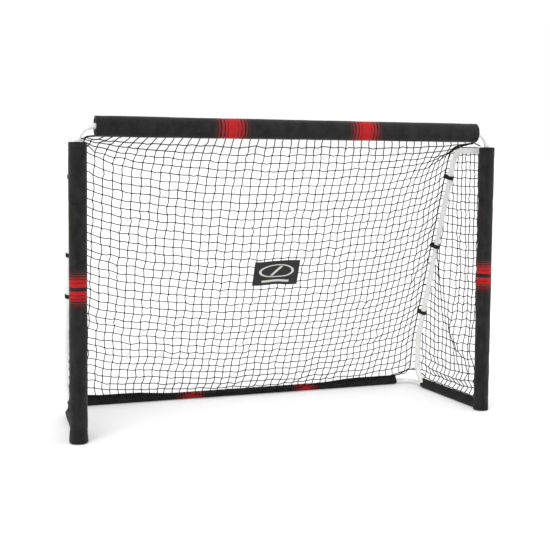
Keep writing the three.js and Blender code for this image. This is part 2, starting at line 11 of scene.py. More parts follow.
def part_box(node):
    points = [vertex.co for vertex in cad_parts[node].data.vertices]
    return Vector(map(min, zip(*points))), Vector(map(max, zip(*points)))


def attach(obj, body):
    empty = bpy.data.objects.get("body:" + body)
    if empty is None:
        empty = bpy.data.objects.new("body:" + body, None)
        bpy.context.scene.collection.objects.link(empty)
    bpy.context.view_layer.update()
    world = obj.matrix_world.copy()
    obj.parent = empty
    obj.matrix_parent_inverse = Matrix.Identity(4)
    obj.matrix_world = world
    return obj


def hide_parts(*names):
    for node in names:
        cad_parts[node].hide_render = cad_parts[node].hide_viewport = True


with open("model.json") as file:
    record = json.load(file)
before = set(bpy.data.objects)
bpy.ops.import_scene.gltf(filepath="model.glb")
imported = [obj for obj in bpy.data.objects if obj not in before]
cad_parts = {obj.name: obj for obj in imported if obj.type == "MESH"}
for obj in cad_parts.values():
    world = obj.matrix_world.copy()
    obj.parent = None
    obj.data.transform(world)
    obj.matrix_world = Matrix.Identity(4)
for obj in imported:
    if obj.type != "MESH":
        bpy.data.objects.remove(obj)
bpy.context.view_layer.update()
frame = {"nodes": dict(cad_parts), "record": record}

# ---- measures, in metres ---------------------------------

# by side, -1 left and 1 right: the hoop's turn inwards towards the back, in radians, and how
# much the post leans inwards for each metre of height
TOE = {-1: 0.084, 1: 0.06}
POST_LEAN = {-1: 0.0045, 1: 0.0117}
TUBE_R = 0.016
TUBE_BORE = 0.0148
SPIGOT_R = 0.0145
SPIGOT_BORE = 0.0133
CORNER_R = 0.077
CORNER_PLUG = 0.100
POST_TOP = 1.436
ARM_Z = 1.460
ARM_START = 0.024
ARM_SPIGOT_END = 0.095
HOOP_CORNERS = [(0.310, 1.460), (0.688, 0.300), (0.691, 0.018)]
HOOP_RADII = [0.090, 0.150, 0.118]
HOOP_END = 0.500
REAR_STUB_R = 0.085
REAR_STUB_END = 0.925
CORD_BACK = 0.020
CORD_IN = 0.026
ROPE_R = 0.0034
ROPE_LAY = 0.026
NET_CORD_R = 0.0026
STRAP_HEIGHTS = {
    "left": {"upper": 1.305, "middle": 0.890, "lower": 0.660},
    "right": {"upper": 1.305, "middle": 0.890, "lower": 0.470},
}
STRAP_WIDTH = 0.022
STRAP_CLOTH = 0.0016
SNAP_HOLE_R = 0.0039
ARM_SNAP_Y = 0.066               # snap buttons: behind the post, under its top, inside the bar's end
POST_SNAP_DOWN = 0.050
BAR_SNAP_IN = 0.045
SIDES = {"left": -1, "right": 1}


def link(obj):
    bpy.context.scene.collection.objects.link(obj)


def middle(node):
    low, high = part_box(node)
    return (low + high) / 2


POST_X = middle("post_foot_right").x
POST_Y = middle("post_foot_right").y
BAR_Z = middle("crossbar_tube").z
REAR_Y = middle("rear_bar").y
GROUND_Z = middle("rear_bar").z
BAR_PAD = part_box("crossbar_sleeve")
REAR_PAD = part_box("rear_sleeve")
POST_PAD = {name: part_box(f"post_sleeve_{name}") for name in SIDES}


def post_x(side, z):
    """Distance of a post's axis from the middle plane: the posts lean in towards the top."""
    return POST_X - POST_LEAN[side] * z


def hoop_point(side, out, y, z):
    """A point in the plane of a side hoop: out is away from the goal, y back from the post."""
    c, s = math.cos(TOE[side]), math.sin(TOE[side])
    return np.array([side * (post_x(side, z) + out * c - y * s), POST_Y + y * c + out * s, z])


# ---- camera ----------------------------------------------


CAMERA_AT = (-2.066, POST_Y - 5.243, 1.455)
CAMERA_TURN = (20.41, 6.61, 0.67)     # yaw, pitch and roll in degrees
LENS_MM, SENSOR_MM = 70.89, 36


def make_camera():
    yaw, pitch, roll = (math.radians(a) for a in CAMERA_TURN)
    ahead = Vector((math.sin(yaw) * math.cos(pitch), math.cos(yaw) * math.cos(pitch), -math.sin(pitch)))
    level = Vector((math.cos(yaw), -math.sin(yaw), 0))
    above = level.cross(ahead)
    right = math.cos(roll) * level + math.sin(roll) * above
    up = -math.sin(roll) * level + math.cos(roll) * above
    data = bpy.data.cameras.new("camera")
    data.sensor_width = SENSOR_MM
    data.lens = LENS_MM
    camera = bpy.data.objects.new("camera", data)
    camera.rotation_mode = "QUATERNION"
    camera.rotation_quaternion = Matrix((right, up, -ahead)).transposed().to_quaternion()
    camera.location = CAMERA_AT
    link(camera)
    bpy.context.scene.camera = camera


make_camera()

# ---- materials -------------------------------------------


class Shader:
    """Small helper round a material's node tree."""

    def __init__(self, name, **values):
        self.material = bpy.data.materials.new(name)
        self.material.use_nodes = True
        self.tree = self.material.node_tree
        self.bsdf = self.tree.nodes["Principled BSDF"]
        for key, value in values.items():
            self.bsdf.inputs[key.replace("_", " ")].default_value = value

    def node(self, kind, inputs=None, **settings):
        made = self.tree.nodes.new(kind)
        for key, value in settings.items():
            setattr(made, key, value)
        for key, value in (inputs or {}).items():
            self.feed(value, made.inputs[key])
        return made

    def feed(self, value, socket):
        if isinstance(value, bpy.types.NodeSocket):
            self.tree.links.new(value, socket)
        elif isinstance(value, bpy.types.Node):
            self.tree.links.new(value.outputs[0], socket)
        else:
            socket.default_value = value

    def math(self, operation, a, b=0.0, c=0.0):
        return self.node("ShaderNodeMath", {0: a, 1: b, 2: c}, operation=operation).outputs[0]

    def position(self):
        return self.node("ShaderNodeTexCoord").outputs["Object"]

    def scaled(self, vector, scale):
        return self.node("ShaderNodeMapping", {"Vector": vector, "Scale": scale}).outputs[0]

    def noise(self, vector, scale, detail=3.0, roughness=0.5):
        inputs = {"Vector": vector, "Scale": scale, "Detail": detail, "Roughness": roughness}
        return self.node("ShaderNodeTexNoise", inputs).outputs["Fac"]

    def ramp(self, value, stops, interpolation="LINEAR"):
        made = self.node("ShaderNodeValToRGB", {"Fac": value})
        made.color_ramp.interpolation = interpolation
        elements = made.color_ramp.elements
        while len(elements) < len(stops):
            elements.new(0.5)
        for element, (at, colour) in zip(elements, stops):
            element.position = at
            element.color = colour if len(colour) == 4 else (*colour, 1)
        return made.outputs["Color"]

    def mix(self, factor, a, b):
        made = self.node("ShaderNodeMix", data_type="RGBA", blend_type="MIX")
        self.feed(factor, made.inputs["Factor"])
        self.feed(a, made.inputs["A"])
        self.feed(b, made.inputs["B"])
        for socket in made.outputs:
            if socket.type == "RGBA":
                return socket

    def bump(self, height, strength, distance):
        inputs = {"Height": height, "Strength": strength, "Distance": distance}
        self.feed(self.node("ShaderNodeBump", inputs), self.bsdf.inputs["Normal"])

    def shades(self, value, stops):
        self.colour(self.ramp(value, stops))

    def colour(self, value):
        self.feed(value, self.bsdf.inputs["Base Color"])

    def roughness(self, grain, spread, base):
        rough = self.math("MULTIPLY_ADD", grain, spread, base)
        self.feed(rough, self.bsdf.inputs["Roughness"])


BLACK = (0.0040, 0.0034, 0.0036)
RED = (0.50, 0.003, 0.007)

# Stripes of a red band, as [distance from its middle in metres, strength of the red].
BAR_STRIPES = [(0, 1), (0.0245, 0), (0.028, 0.95), (0.040, 0), (0.047, 0.85), (0.058, 0),
               (0.068, 0.6), (0.0745, 0), (0.084, 0.35), (0.087, 0), (0.095, 0.15), (0.097, 0)]
POST_STRIPES = [(0, 0), (0.0095, 1), (0.0285, 0), (0.0315, 0.9), (0.046, 0), (0.050, 0.7), (0.059, 0),
                (0.065, 0.5), (0.071, 0), (0.078, 0.3), (0.082, 0), (0.090, 0.13), (0.092, 0)]
BAND_REACH = 0.12
BAND_SHIFT = 0.003               # makes up for the wobble's mean


def cloth_material(name, axis, bands, stripes, roughness=0.5):
    """Coated black polyester with a fine weave, and red bands across one axis."""
    shader = Shader(name, Specular_IOR_Level=0.24)
    at = shader.position()
    parts = shader.node("ShaderNodeSeparateXYZ", {0: at})
    wobble = shader.math("MULTIPLY", shader.noise(at, 14.0), 0.006)
    along = shader.math("ADD", parts.outputs[axis], wobble)
    distance = None
    for place in bands:
        away = shader.math("ABSOLUTE", shader.math("SUBTRACT", along, place + BAND_SHIFT))
        distance = away if distance is None else shader.math("MINIMUM", distance, away)
    # mottle of the black cloth: partly dust, partly painted sheen standing in for the varied highlights
    # that the even light leaves out
    dust_and_sheen = shader.noise(shader.scaled(at, (1, 1, 0.6)), 26.0, 6.0, 0.6)
    mottled = shader.ramp(dust_and_sheen, [(0.38, BLACK), (0.72, (0.019, 0.0165, 0.017))])
    if distance is None:
        shader.colour(mottled)
    else:
        reach = shader.math("DIVIDE", distance, BAND_REACH)
        stops = [(s / BAND_REACH, (amount,) * 3) for s, amount in stripes]
        red = shader.ramp(reach, stops, "CONSTANT")
        shader.colour(shader.mix(red, mottled, (*RED, 1)))
    warp = shader.node("ShaderNodeTexWave", {"Vector": at, "Scale": 380.0}, bands_direction="Z")
    weft = shader.node("ShaderNodeTexWave", {"Vector": at, "Scale": 380.0}, bands_direction="DIAGONAL")
    weave = shader.math("ADD", warp.outputs["Fac"], weft.outputs["Fac"])
    creases = shader.math("MULTIPLY", shader.noise(at, 42.0, 4.0, 0.6), 9.0)
    shader.bump(shader.math("ADD", weave, creases), 0.7, 0.0011)
    shader.roughness(shader.noise(at, 18.0, 4.0), 0.25, roughness - 0.12)
    return shader.material


def powder_material():
    shader = Shader("powder", Coat_Weight=0.15, Coat_Roughness=0.2)
    at = shader.position()
    paint = [(0.3, (0.76, 0.76, 0.755)), (0.7, (0.80, 0.80, 0.795))]
    shader.shades(shader.noise(at, 9.0, 4.0), paint)
    shader.roughness(shader.noise(at, 25.0), 0.16, 0.26)
    shader.bump(shader.noise(at, 900.0, 2.0), 0.12, 0.0004)
    return shader.material


def steel_material():
    shader = Shader("spring_steel", Metallic=1.0)
    at = shader.position()
    streaks = shader.noise(shader.scaled(at, (40, 900, 900)), 1.0, 4.0)
    shader.shades(streaks, [(0.3, (0.42, 0.43, 0.45)), (0.7, (0.60, 0.61, 0.63))])
    shader.roughness(streaks, 0.2, 0.22)
    return shader.material


def plastic_material():
    shader = Shader("moulded_plastic", Specular_IOR_Level=0.45)
    at = shader.position()
    blacks = [(0.3, (0.018, 0.018, 0.019)), (0.7, (0.028, 0.028, 0.03))]
    shader.shades(shader.noise(at, 60.0), blacks)
    shader.roughness(shader.noise(at, 40.0), 0.2, 0.42)
    shader.bump(shader.noise(at, 1200.0, 2.0), 0.25, 0.0003)
    return shader.material


def yarn_material(name, colour, pale, scale, roughness=0.8):
    """Twisted or woven yarn: fibre grain, slightly lighter where it is rubbed."""
    shader = Shader(name, Specular_IOR_Level=0.10)
    at = shader.position()
    grain = shader.noise(at, scale, 3.0, 0.6)
    worn = shader.noise(at, 12.0, 3.0)
    fibres = shader.ramp(grain, [(0.3, colour), (0.75, pale)])
    shader.colour(shader.mix(shader.math("MULTIPLY", worn, 0.4), fibres, (*pale, 1)))
    shader.roughness(grain, 0.15, roughness - 0.08)
    shader.bump(grain, 0.6, 0.0005)
    return shader.material


def strap_material():
    shader = Shader("hook_and_loop", Sheen_Weight=0.05, Sheen_Roughness=0.6, Specular_IOR_Level=0.3)
    at = shader.position()
    pile = shader.node("ShaderNodeTexVoronoi", {"Vector": at, "Scale": 900.0}).outputs["Distance"]
    shader.shades(pile, [(0.1, (0.003, 0.003, 0.0035)), (0.8, (0.010, 0.010, 0.011))])
    shader.roughness(pile, 0.1, 0.82)
    shader.bump(pile, 0.7, 0.0008)
    return shader.material


def label_material():
    """Black woven patch with a plain pale ring and bar, drawn in the patch's own UV square."""
    shader = Shader("label", Specular_IOR_Level=0.4)
    at = shader.position()
    uv = shader.node("ShaderNodeUVMap").outputs[0]
    parts = shader.node("ShaderNodeSeparateXYZ", {0: uv})
    across = shader.math("SUBTRACT", parts.outputs[0], 0.5)
    down = shader.math("SUBTRACT", parts.outputs[1], 0.58)
    wide = shader.math("POWER", shader.math("DIVIDE", across, 0.36), 2.0)
    tall = shader.math("POWER", shader.math("DIVIDE", down, 0.25), 2.0)
    reach = shader.math("SQRT", shader.math("ADD", wide, tall))

    def within(value, limit):
        return shader.math("LESS_THAN", shader.math("ABSOLUTE", value), limit)

    ring = within(shader.math("SUBTRACT", reach, 1.0), 0.075)
    leaning = shader.math("SUBTRACT", across, shader.math("MULTIPLY", down, 0.55))
    blade = shader.math("MULTIPLY", within(leaning, 0.035), shader.math("LESS_THAN", reach, 0.8))
    low = shader.math("SUBTRACT", parts.outputs[1], 0.16)
    bar = shader.math("MULTIPLY", within(across, 0.30), within(low, 0.045))
    mark = shader.math("MAXIMUM", shader.math("MAXIMUM", ring, blade), bar)
    threads = shader.node("ShaderNodeTexWave", {"Vector": at, "Scale": 420.0}, bands_direction="X")
    blacks = [(0.3, (0.006, 0.0055, 0.0055)), (0.7, (0.011, 0.010, 0.010))]
    ground = shader.ramp(shader.noise(at, 40.0), blacks)
    shader.colour(shader.mix(mark, ground, (0.55, 0.55, 0.54, 1)))
    shader.roughness(threads.outputs["Fac"], 0.15, 0.5)
    shader.bump(threads.outputs["Fac"], 0.3, 0.0004)
    return shader.material


def floor_material():
    shader = Shader("floor", Roughness=0.9)
    at = shader.position()
    shader.shades(shader.noise(at, 0.6), [(0.3, (0.90,) * 3), (0.7, (0.91,) * 3)])
    return shader.material


POST_BAND_Z = 0.770
BAR_BANDS = (-0.361, 0.373)
REAR_BANDS = (-0.345, 0.370)
MATERIALS = {
    "powder": powder_material(),
    "spring": steel_material(),
    "plastic": plastic_material(),
    "post_cloth": cloth_material("post_cloth", 2, [POST_BAND_Z], POST_STRIPES),
    "bar_cloth": cloth_material("bar_cloth", 0, BAR_BANDS, BAR_STRIPES, 0.42),
    "rear_cloth": cloth_material("rear_cloth", 0, REAR_BANDS, BAR_STRIPES),
    "side_cloth": cloth_material("side_cloth", 0, [], [], 0.6),
    "cord": yarn_material("net_cord", (0.0025, 0.0025, 0.0028), (0.006, 0.006, 0.0065), 1500.0),
    "rope": yarn_material("edge_rope", (0.003, 0.003, 0.0035), (0.010, 0.010, 0.011), 700.0),
    "strap": strap_material(),
    "label": label_material(),
    "floor": floor_material(),
}

# ---- meshes ----------------------------------------------


class Build:
    """Gathers closed bodies into one mesh."""

    def __init__(self):
        self.points = []
        self.faces = []
        self.count = 0

    def add(self, points, faces):
        self.points.append(np.asarray(points, float).reshape(-1, 3))
        self.faces.extend((np.asarray(faces) + self.count).tolist())
        self.count += len(self.points[-1])

    def loft(self, rings, closed=False):
        """Closed body through rings of equal length: rings is (rows, around, 3)."""
        rings = np.asarray(rings, float)
        rows, around = rings.shape[:2]
        last = rows if closed else rows - 1
        r, a = np.meshgrid(np.arange(last), np.arange(around), indexing="ij")
        nr, na = (r + 1) % rows, (a + 1) % around
        quads = np.stack([r * around + a, r * around + na, nr * around + na, nr * around + a], -1)
        start = self.count
        self.add(rings, quads.reshape(-1, 4))
        if not closed:
            self.faces.append([start + i for i in reversed(range(around))])
            self.faces.append([start + (rows - 1) * around + i for i in range(around)])

    def tube(self, points, radius, sides, normal=(0, 0, 1), section=None):
        self.loft(ring_stack(points, radius, sides, normal, section))

    def pipe(self, points, outer, inner, sides, normal=(0, 0, 1)):
        """Hollow tube with open ends."""
        out = ring_stack(points, outer, sides, normal)
        bore = ring_stack(points, inner, sides, normal)
        self.loft(np.concatenate([out, bore[::-1]]), closed=True)

    def object(self, name, material, slot, replaces, flip=False):
        """A piece on the frame, in place of the CAD nodes that it replaces. The slot is not used."""
        mesh = bpy.data.meshes.new(name)
        mesh.from_pydata(np.concatenate(self.points).tolist(), [], self.faces)
        mesh.materials.append(MATERIALS[material])
        if flip:
            mesh.flip_normals()
        mesh.polygons.foreach_set("use_smooth", [True] * len(mesh.polygons))
        mesh.update()
        obj = bpy.data.objects.new(name, mesh)
        link(obj)
        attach(obj, "frame")
        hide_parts(*replaces)
        return obj


def unit(v):
    return v / np.maximum(np.linalg.norm(v, axis=-1, keepdims=True), 1e-12)


def ring_stack(points, radius, sides, normal=(0, 0, 1), section=None):
    """Rings round a line; a ring's first direction stays as near to normal as it can."""
    points = np.asarray(points, float)
    tangent = unit(np.gradient(points, axis=0))
    first = np.empty_like(points)
    guide = np.asarray(normal, float)
    for i, t in enumerate(tangent):
        guide = guide - guide.dot(t) * t
        guide = guide / np.linalg.norm(guide)
        first[i] = guide
    second = np.cross(tangent, first)
    angle = np.arange(sides) * 2 * math.pi / sides
    reach = np.ones((len(points), sides))
    if section is not None:
        reach = section(np.arange(len(points)), angle)
    reach = reach * radius
    along_first = first[:, None] * (np.cos(angle) * reach)[..., None]
    along_second = second[:, None] * (np.sin(angle) * reach)[..., None]
    return points[:, None] + (along_first + along_second)


def length_along(points):
    steps = np.linalg.norm(np.diff(points, axis=0), axis=1)
    return np.concatenate([[0], np.cumsum(steps)])


def resample(points, at):
    """Points of a polyline at the given fractions of its length."""
    points = np.asarray(points, float)
    run = length_along(points)
    where = np.asarray(at) * run[-1]
    return np.stack([np.interp(where, run, points[:, k]) for k in range(points.shape[1])], -1)


def evenly(points, step):
    count = max(2, int(round(length_along(np.asarray(points))[-1] / step)) + 1)
    return resample(points, np.linspace(0, 1, count))


def rounded(corners, radii, steps=12):
    """A line of straight runs whose corners are arcs."""
    corners = [np.asarray(c, float) for c in corners]
    line = [corners[0]]
    for before, corner, after, radius in zip(corners, corners[1:], corners[2:], radii):
        into, out = unit(corner - before), unit(after - corner)
        angle = math.acos(max(-1, min(1, float(into.dot(out)))))
        side = unit(out - into * out.dot(into))
        start = corner - into * radius * math.tan(angle / 2)
        count = max(3, round(steps * angle / (math.pi / 2)))
        for turn in np.linspace(0, angle, count + 1):
            line.append(start + into * radius * math.sin(turn) + side * radius * (1 - math.cos(turn)))
    line.append(corners[-1])
    return np.array(line)


def smooth_line(points, step):
    """Catmull-Rom line through the points, resampled evenly."""
    p = np.asarray(points, float)
    p = np.concatenate([[2 * p[0] - p[1]], p, [2 * p[-1] - p[-2]]])
    t = np.linspace(0, 1, 12, endpoint=False)[:, None]
    line = []
    for a, b, c, d in zip(p, p[1:], p[2:], p[3:]):
        line.append(0.5 * (2 * b + (c - a) * t + (2 * a - 5 * b + 4 * c - d) * t ** 2
                           + (3 * b - a - 3 * c + d) * t ** 3))
    return evenly(np.concatenate([*line, [p[-2]]]), step)


def cut_out(obj, cutters):
    """Takes cutter bodies out of a piece for good."""
    made = []
    for cutter in cutters:
        mesh = bpy.data.meshes.new("cutter")
        mesh.from_pydata(np.concatenate(cutter.points).tolist(), [], cutter.faces)
        tool = bpy.data.objects.new("cutter", mesh)
        link(tool)
        modifier = obj.modifiers.new("cut", "BOOLEAN")
        modifier.object = tool
        modifier.operation = "DIFFERENCE"
        modifier.solver = "EXACT"
        made.append(tool)
    bpy.context.view_layer.update()
    graph = bpy.context.evaluated_depsgraph_get()
    mesh = bpy.data.meshes.new_from_object(obj.evaluated_get(graph))
    obj.modifiers.clear()
    obj.data = mesh
    for tool in made:
        bpy.data.objects.remove(tool)


def block(low, high):
    (x0, y0, z0), (x1, y1, z1) = low, high
    build = Build()
    build.loft([[(x0, y0, z), (x1, y0, z), (x1, y1, z), (x0, y1, z)] for z in (z0, z1)])
    return build


def snap_hole(centre, out):
    """A cutter for the hole that a snap button stands in."""
    hole = Build()
    hole.tube([centre, centre + np.array(out)], SNAP_HOLE_R, 20, (1, 0, 0))
    return hole


def fold_noise(x, y, z, scale):
    return noise.noise(Vector((x * scale, y * scale, z * scale)))


# ---- frame tubes with smooth bends -----------------------


def side_hoop(name, side):
    corners = [hoop_point(side, 0, ARM_START, ARM_Z)]
    corners += [hoop_point(side, 0, y, z) for y, z in HOOP_CORNERS]
    corners.append(hoop_point(side, 0, HOOP_END, HOOP_CORNERS[-1][1]))
    build = Build()
    build.pipe(rounded(corners, HOOP_RADII, 20), TUBE_R, TUBE_BORE, 36, (side, 0, 0))
    start = hoop_point(side, 0, HOOP_CORNERS[2][0] - HOOP_RADII[2] + 0.052, GROUND_Z)
    corner = hoop_point(side, 0, (REAR_Y - POST_Y) / math.cos(TOE[side]), GROUND_Z)
    stub = rounded([start, corner, [side * REAR_STUB_END, REAR_Y, GROUND_Z]], [REAR_STUB_R], 18)
    build.pipe(stub, SPIGOT_R, SPIGOT_BORE, 32)
    hoop = build.object(f"hoop_{name}", "powder", "powder", [f"side_hoop_{name}"])
    cut_out(hoop, [snap_hole(hoop_point(side, 0, ARM_SNAP_Y, ARM_Z), (0, 0, -0.030))])


def top_corner(name, side):
    def on_post(z):
        return np.array([side * post_x(side, z), POST_Y, z])

    def on_bar(plugged):
        return np.array([side * (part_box("crossbar_tube")[1].x - plugged), POST_Y, BAR_Z])

    foot, bend, end = on_post(POST_TOP - CORNER_PLUG), on_post(BAR_Z), on_bar(CORNER_PLUG)
    build = Build()
    build.pipe(rounded([foot, bend, end], [CORNER_R], 24), SPIGOT_R, SPIGOT_BORE, 36, (0, 1, 0))
    arm_foot = hoop_point(side, 0, SPIGOT_R - 0.001, ARM_Z)
    arm_end = hoop_point(side, 0, ARM_SPIGOT_END, ARM_Z)
    build.pipe([arm_foot, arm_end], SPIGOT_R, SPIGOT_BORE, 36)
    corner = build.object(f"corner_{name}", "powder", "powder", [f"top_corner_{name}"])
    seats = [
        (on_post(POST_TOP - POST_SNAP_DOWN), (0, 0.030, 0)),
        (on_bar(BAR_SNAP_IN), (0, 0.030, 0)),
        (hoop_point(side, 0, ARM_SNAP_Y, ARM_Z), (0, 0, -0.030)),
    ]
    cut_out(corner, [snap_hole(centre, out) for centre, out in seats])


# ---- padded sleeves --------------------------------------


POST_PAD_R = {"left": 0.0446, "right": 0.0415}
PAD_BORE = 0.0192


def post_pad(name, side):
    """Foam-filled sleeve on a post: flared cuff, cross seam, turned-in top hem, rumpled cloth."""
    low, high = POST_PAD[name]
    radius = POST_PAD_R[name]
    flare, flare_z = radius + 0.0030, 0.070
    seams = (1.186, 1.452)
    around = 60
    angle = np.arange(around) * 2 * math.pi / around
    at_seams = [s + d for s in seams for d in (-0.0012, 0, 0.0012)]
    outer_z = sorted(list(np.arange(low.z + 0.002, high.z - 0.004, 0.0065)) + at_seams)
    rings = []

    def ring(z, base, rumple=0.0):
        reach = np.full(around, base)
        if rumple:
            for k, a in enumerate(angle):
                c, s = math.cos(a) * base, math.sin(a) * base
                folds = fold_noise(c + side * 3, s, z * 0.35, 38) * 0.0016
                creases = abs(fold_noise(c * 0.5 + side * 7, s * 0.5, z, 60)) * -0.0013
                slow = fold_noise(side * 11.0, c * 0.3, z, 5) * 0.0012
                reach[k] += rumple * (folds + creases) + slow
        # the long closing seam at the back, where the flap overlaps
        back = np.abs((angle - math.pi / 2 - 0.42 + math.pi) % (2 * math.pi) - math.pi)
        if rumple:
            reach += 0.0009 * np.exp(-(back / 0.03) ** 2)
        x = side * post_x(side, z) + reach * np.cos(angle)
        return np.stack([x, POST_Y + reach * np.sin(angle), np.full(around, z)], -1)

    for z in outer_z:
        base = radius + (flare - radius) * max(0.0, 1 - z / flare_z) ** 1.3
        base -= 0.0016 * sum(math.exp(-((z - s) / 0.0016) ** 2) for s in seams)
        base += 0.0006 * (z > seams[0]) - 0.0012 * math.exp(-((z - flare_z) / 0.004) ** 2)
        strength = 0.35 + 0.9 * max(0.0, min(1.0, (0.72 - z) / 0.35))
        strength += 0.5 * math.exp(-((z - seams[0]) / 0.04) ** 2)
        if z < 0.012:
            base -= 0.0012 * (1 - z / 0.012)
        rings.append(ring(z, base, strength))
    top = high.z
    rings.append(ring(top - 0.0018, radius - 0.0014, 0.3))
    # the hem turned in at the top, the bore, and the hollow cuff at the foot
    inside = [(top - 0.0005, radius - 0.0050)]
    inside += [(top - 0.0006 - (radius - r) * 0.05, r) for r in (0.032, 0.026, 0.0215)]
    inside += [(top - 0.0022, 0.0195), *((z, PAD_BORE) for z in (1.30, 0.9, 0.5, 0.06))]
    inside += [(0.046, 0.0195), (0.044, 0.034), (0.040, 0.0375)]
    inside += [(low.z + 0.010, 0.0395), (low.z + 0.001, 0.0405)]
    rings += [ring(z, r) for z, r in inside]
    build = Build()
    build.loft(rings, closed=True)
    replaced = [f"post_sleeve_{name}", f"post_foam_{name}"]
    pad = build.object(f"pad_post_{name}", "post_cloth", "cloth", replaced)
    # slots at the back for the arm above and the ground bar below
    half = 0.0195
    slots = []
    for z_low, z_high in [(ARM_Z - TUBE_R - 0.0025, top + 0.01), (-0.01, GROUND_Z + TUBE_R + 0.0025)]:
        x = side * post_x(side, (z_low + z_high) / 2)
        slots.append(block((x - half, POST_Y + 0.004, z_low), (x + half, POST_Y + 0.06, z_high)))
    cut_out(pad, slots)


def bar_pad():
    """Foam-filled sleeve on the crossbar, a little flattened, with soft ends and a low belly."""
    low, high = BAR_PAD
    half = (high.x - low.x) / 2 - 0.0095
    wide, tall = (high.y - low.y) / 2 - 0.0006, (high.z - low.z) / 2 - 0.0006
    round_end = 0.024
    around = 64
    angle = np.arange(around) * 2 * math.pi / around
    rings = []

    def ring(x, shrink, rumple):
        ys = (wide - shrink) * np.cos(angle)
        zs = (tall - shrink) * np.sin(angle)
        normal = unit(np.stack([ys / wide ** 2, zs / tall ** 2], -1))
        lift = np.zeros(around)
        if rumple:
            for k in range(around):
                folds = fold_noise(x * 0.4, ys[k] + 5, zs[k], 34) * 0.0013
                creases = -abs(fold_noise(x, ys[k] * 0.5 + 9, zs[k] * 0.5, 48)) * 0.0012
                lift[k] = rumple * (folds + creases) + fold_noise(x, 17.0, 0.0, 3.0) * 0.0012
        sag = 0.0012 * math.exp(-((x + 0.5) / 0.12) ** 2)
        zs = zs - sag * (np.sin(angle) < 0) * np.sin(-angle)
        out_y, out_z = POST_Y + ys + normal[:, 0] * lift, BAR_Z + zs + normal[:, 1] * lift
        return np.stack([np.full(around, x), out_y, out_z], -1)

    def soft_end(sign, turns):
        return [ring(sign * (half - round_end * (1 - math.sin(turn))),
                     round_end * math.cos(turn) * 0.9, 0.2) for turn in turns * math.pi / 2]

    rings.append(ring(-half + 0.0012, wide - 0.0205, 0))
    rings += soft_end(-1, np.linspace(0.12, 1, 7))
    for x in np.arange(-half + round_end + 0.006, half - round_end, 0.007):
        near_end = math.exp(-((half - abs(x)) / 0.08) ** 2)
        rings.append(ring(x, 0, 0.55 + 0.8 * near_end))
    rings += soft_end(1, np.linspace(1, 0.12, 7))
    rings.append(ring(half - 0.0012, wide - 0.0205, 0))
    bore_y, bore_z = POST_Y + PAD_BORE * np.cos(angle), BAR_Z + PAD_BORE * np.sin(angle)
    for x in (half - 0.004, 0.0, -half + 0.004):
        rings.append(np.stack([np.full(around, x), bore_y, bore_z], -1))
    build = Build()
    build.loft(rings, closed=True)
    replaced = ["crossbar_sleeve", "crossbar_foam"]
    pad = build.object("pad_crossbar", "bar_cloth", "cloth", replaced, flip=True)


SIDE_FLAP_TOP = 0.0585
SIDE_SLEEVE_END = {-1: 0.560, 1: 0.624}


def teardrop(half_width, height, around=40):
    """Section of a sleeve round a bar, closed along the top in a standing flap."""
    bar_r = TUBE_R + 0.0016
    points = []
    for a in np.linspace(-math.pi / 2, math.pi * 0.30, around // 2 - 6):
        points.append((bar_r * math.cos(a), GROUND_Z + bar_r * math.sin(a)))
    shoulder = points[-1]
    fin = 0.0028
    for t in np.linspace(0.2, 1, 6):
        ease = 1 - (1 - t) ** 1.8
        rise = (height - 0.0015 - shoulder[1]) * t
        points.append((shoulder[0] + (fin - shoulder[0]) * ease, shoulder[1] + rise))
    right = np.array(points) * [half_width / bar_r, 1]
    right[:, 0] = np.where(right[:, 1] > shoulder[1], np.minimum(right[:, 0], half_width), right[:, 0])
    top = [(0.0, height)]
    left = right[::-1] * [-1, 1]
    return np.concatenate([right, top, left[:-1]])


def ground_sleeve(name, start, end, height_at, material, replaces, rests_on):
    """Cloth sleeve along a ground bar; height_at(t) is the flap's top, t going from 0 to 1."""
    start, end = np.asarray(start, float), np.asarray(end, float)
    along = unit(end - start)
    across = np.array([along[1], -along[0], 0.0])
    length = float(np.linalg.norm(end - start))
    thick = 0.0014
    outer, inner = [], []
    count = int(length / 0.0085)
    for k in range(count + 1):
        t = k / count
        height = height_at(t)
        flap = teardrop(0.0183 + 0.0035 * max(0.0, (height - 0.040) / 0.02), height)
        ring_out, ring_in = [], []
        for w, z in flap:
            s = t * length
            fold = fold_noise(s, w * 2, z * 2 + len(name), 26) * 0.0016
            fold += fold_noise(s, z, 3.0 + len(name), 9) * 0.0015
            ease = min(1.0, max(0.0, (z - 0.004) / 0.01))
            lean = fold_noise(s, 31.0, len(name) * 1.7, 5) * 0.004 * max(0.0, z - 0.030) / 0.03
            grow = (1 + fold * ease / max(abs(w), 0.006)) if abs(w) > 1e-6 else 1
            base = start + along * s
            width = w * grow + lean
            z_out = max(0.0006, z)
            ring_out.append(base + across * width + np.array([0, 0, z_out]))
            shrink = max(0.0, 1 - thick / max(abs(w), thick))
            centre_z = GROUND_Z if z < GROUND_Z + 0.012 else z - thick
            z_in = z_out + (centre_z - z_out) * min(1.0, thick / max(abs(centre_z - z_out), thick))
            ring_in.append(base + across * (w * grow * shrink + lean) + np.array([0, 0, z_in]))
        outer.append(ring_out)
        inner.append(ring_in)
    build = Build()
    build.loft(np.array(outer + inner[::-1]), closed=True)
    sleeve = build.object(name, material, "ground_cloth", replaces, flip=True)
    return sleeve


def rear_height(t):
    """Top of the rear sleeve's flap: tall at the ends, pulled down tight on the bar between."""
    x = abs(t - 0.5) * 2
    rise = max(0.0, min(1.0, (x - 0.44) / 0.30))
    return 0.0395 + 0.0165 * rise * rise * (3 - 2 * rise)


# ---- net -------------------------------------------------

rng = np.random.default_rng(41)
ROWS, COLUMNS, SEAM_ROW = 36, 47, 6
HEAD_X, HEAD_BACK = 1.046, 0.030     # where the net's top edge ends, and how far behind the posts
ROPE_FOOT_Z = 0.104                  # where the edge rope ends at the leg's foot


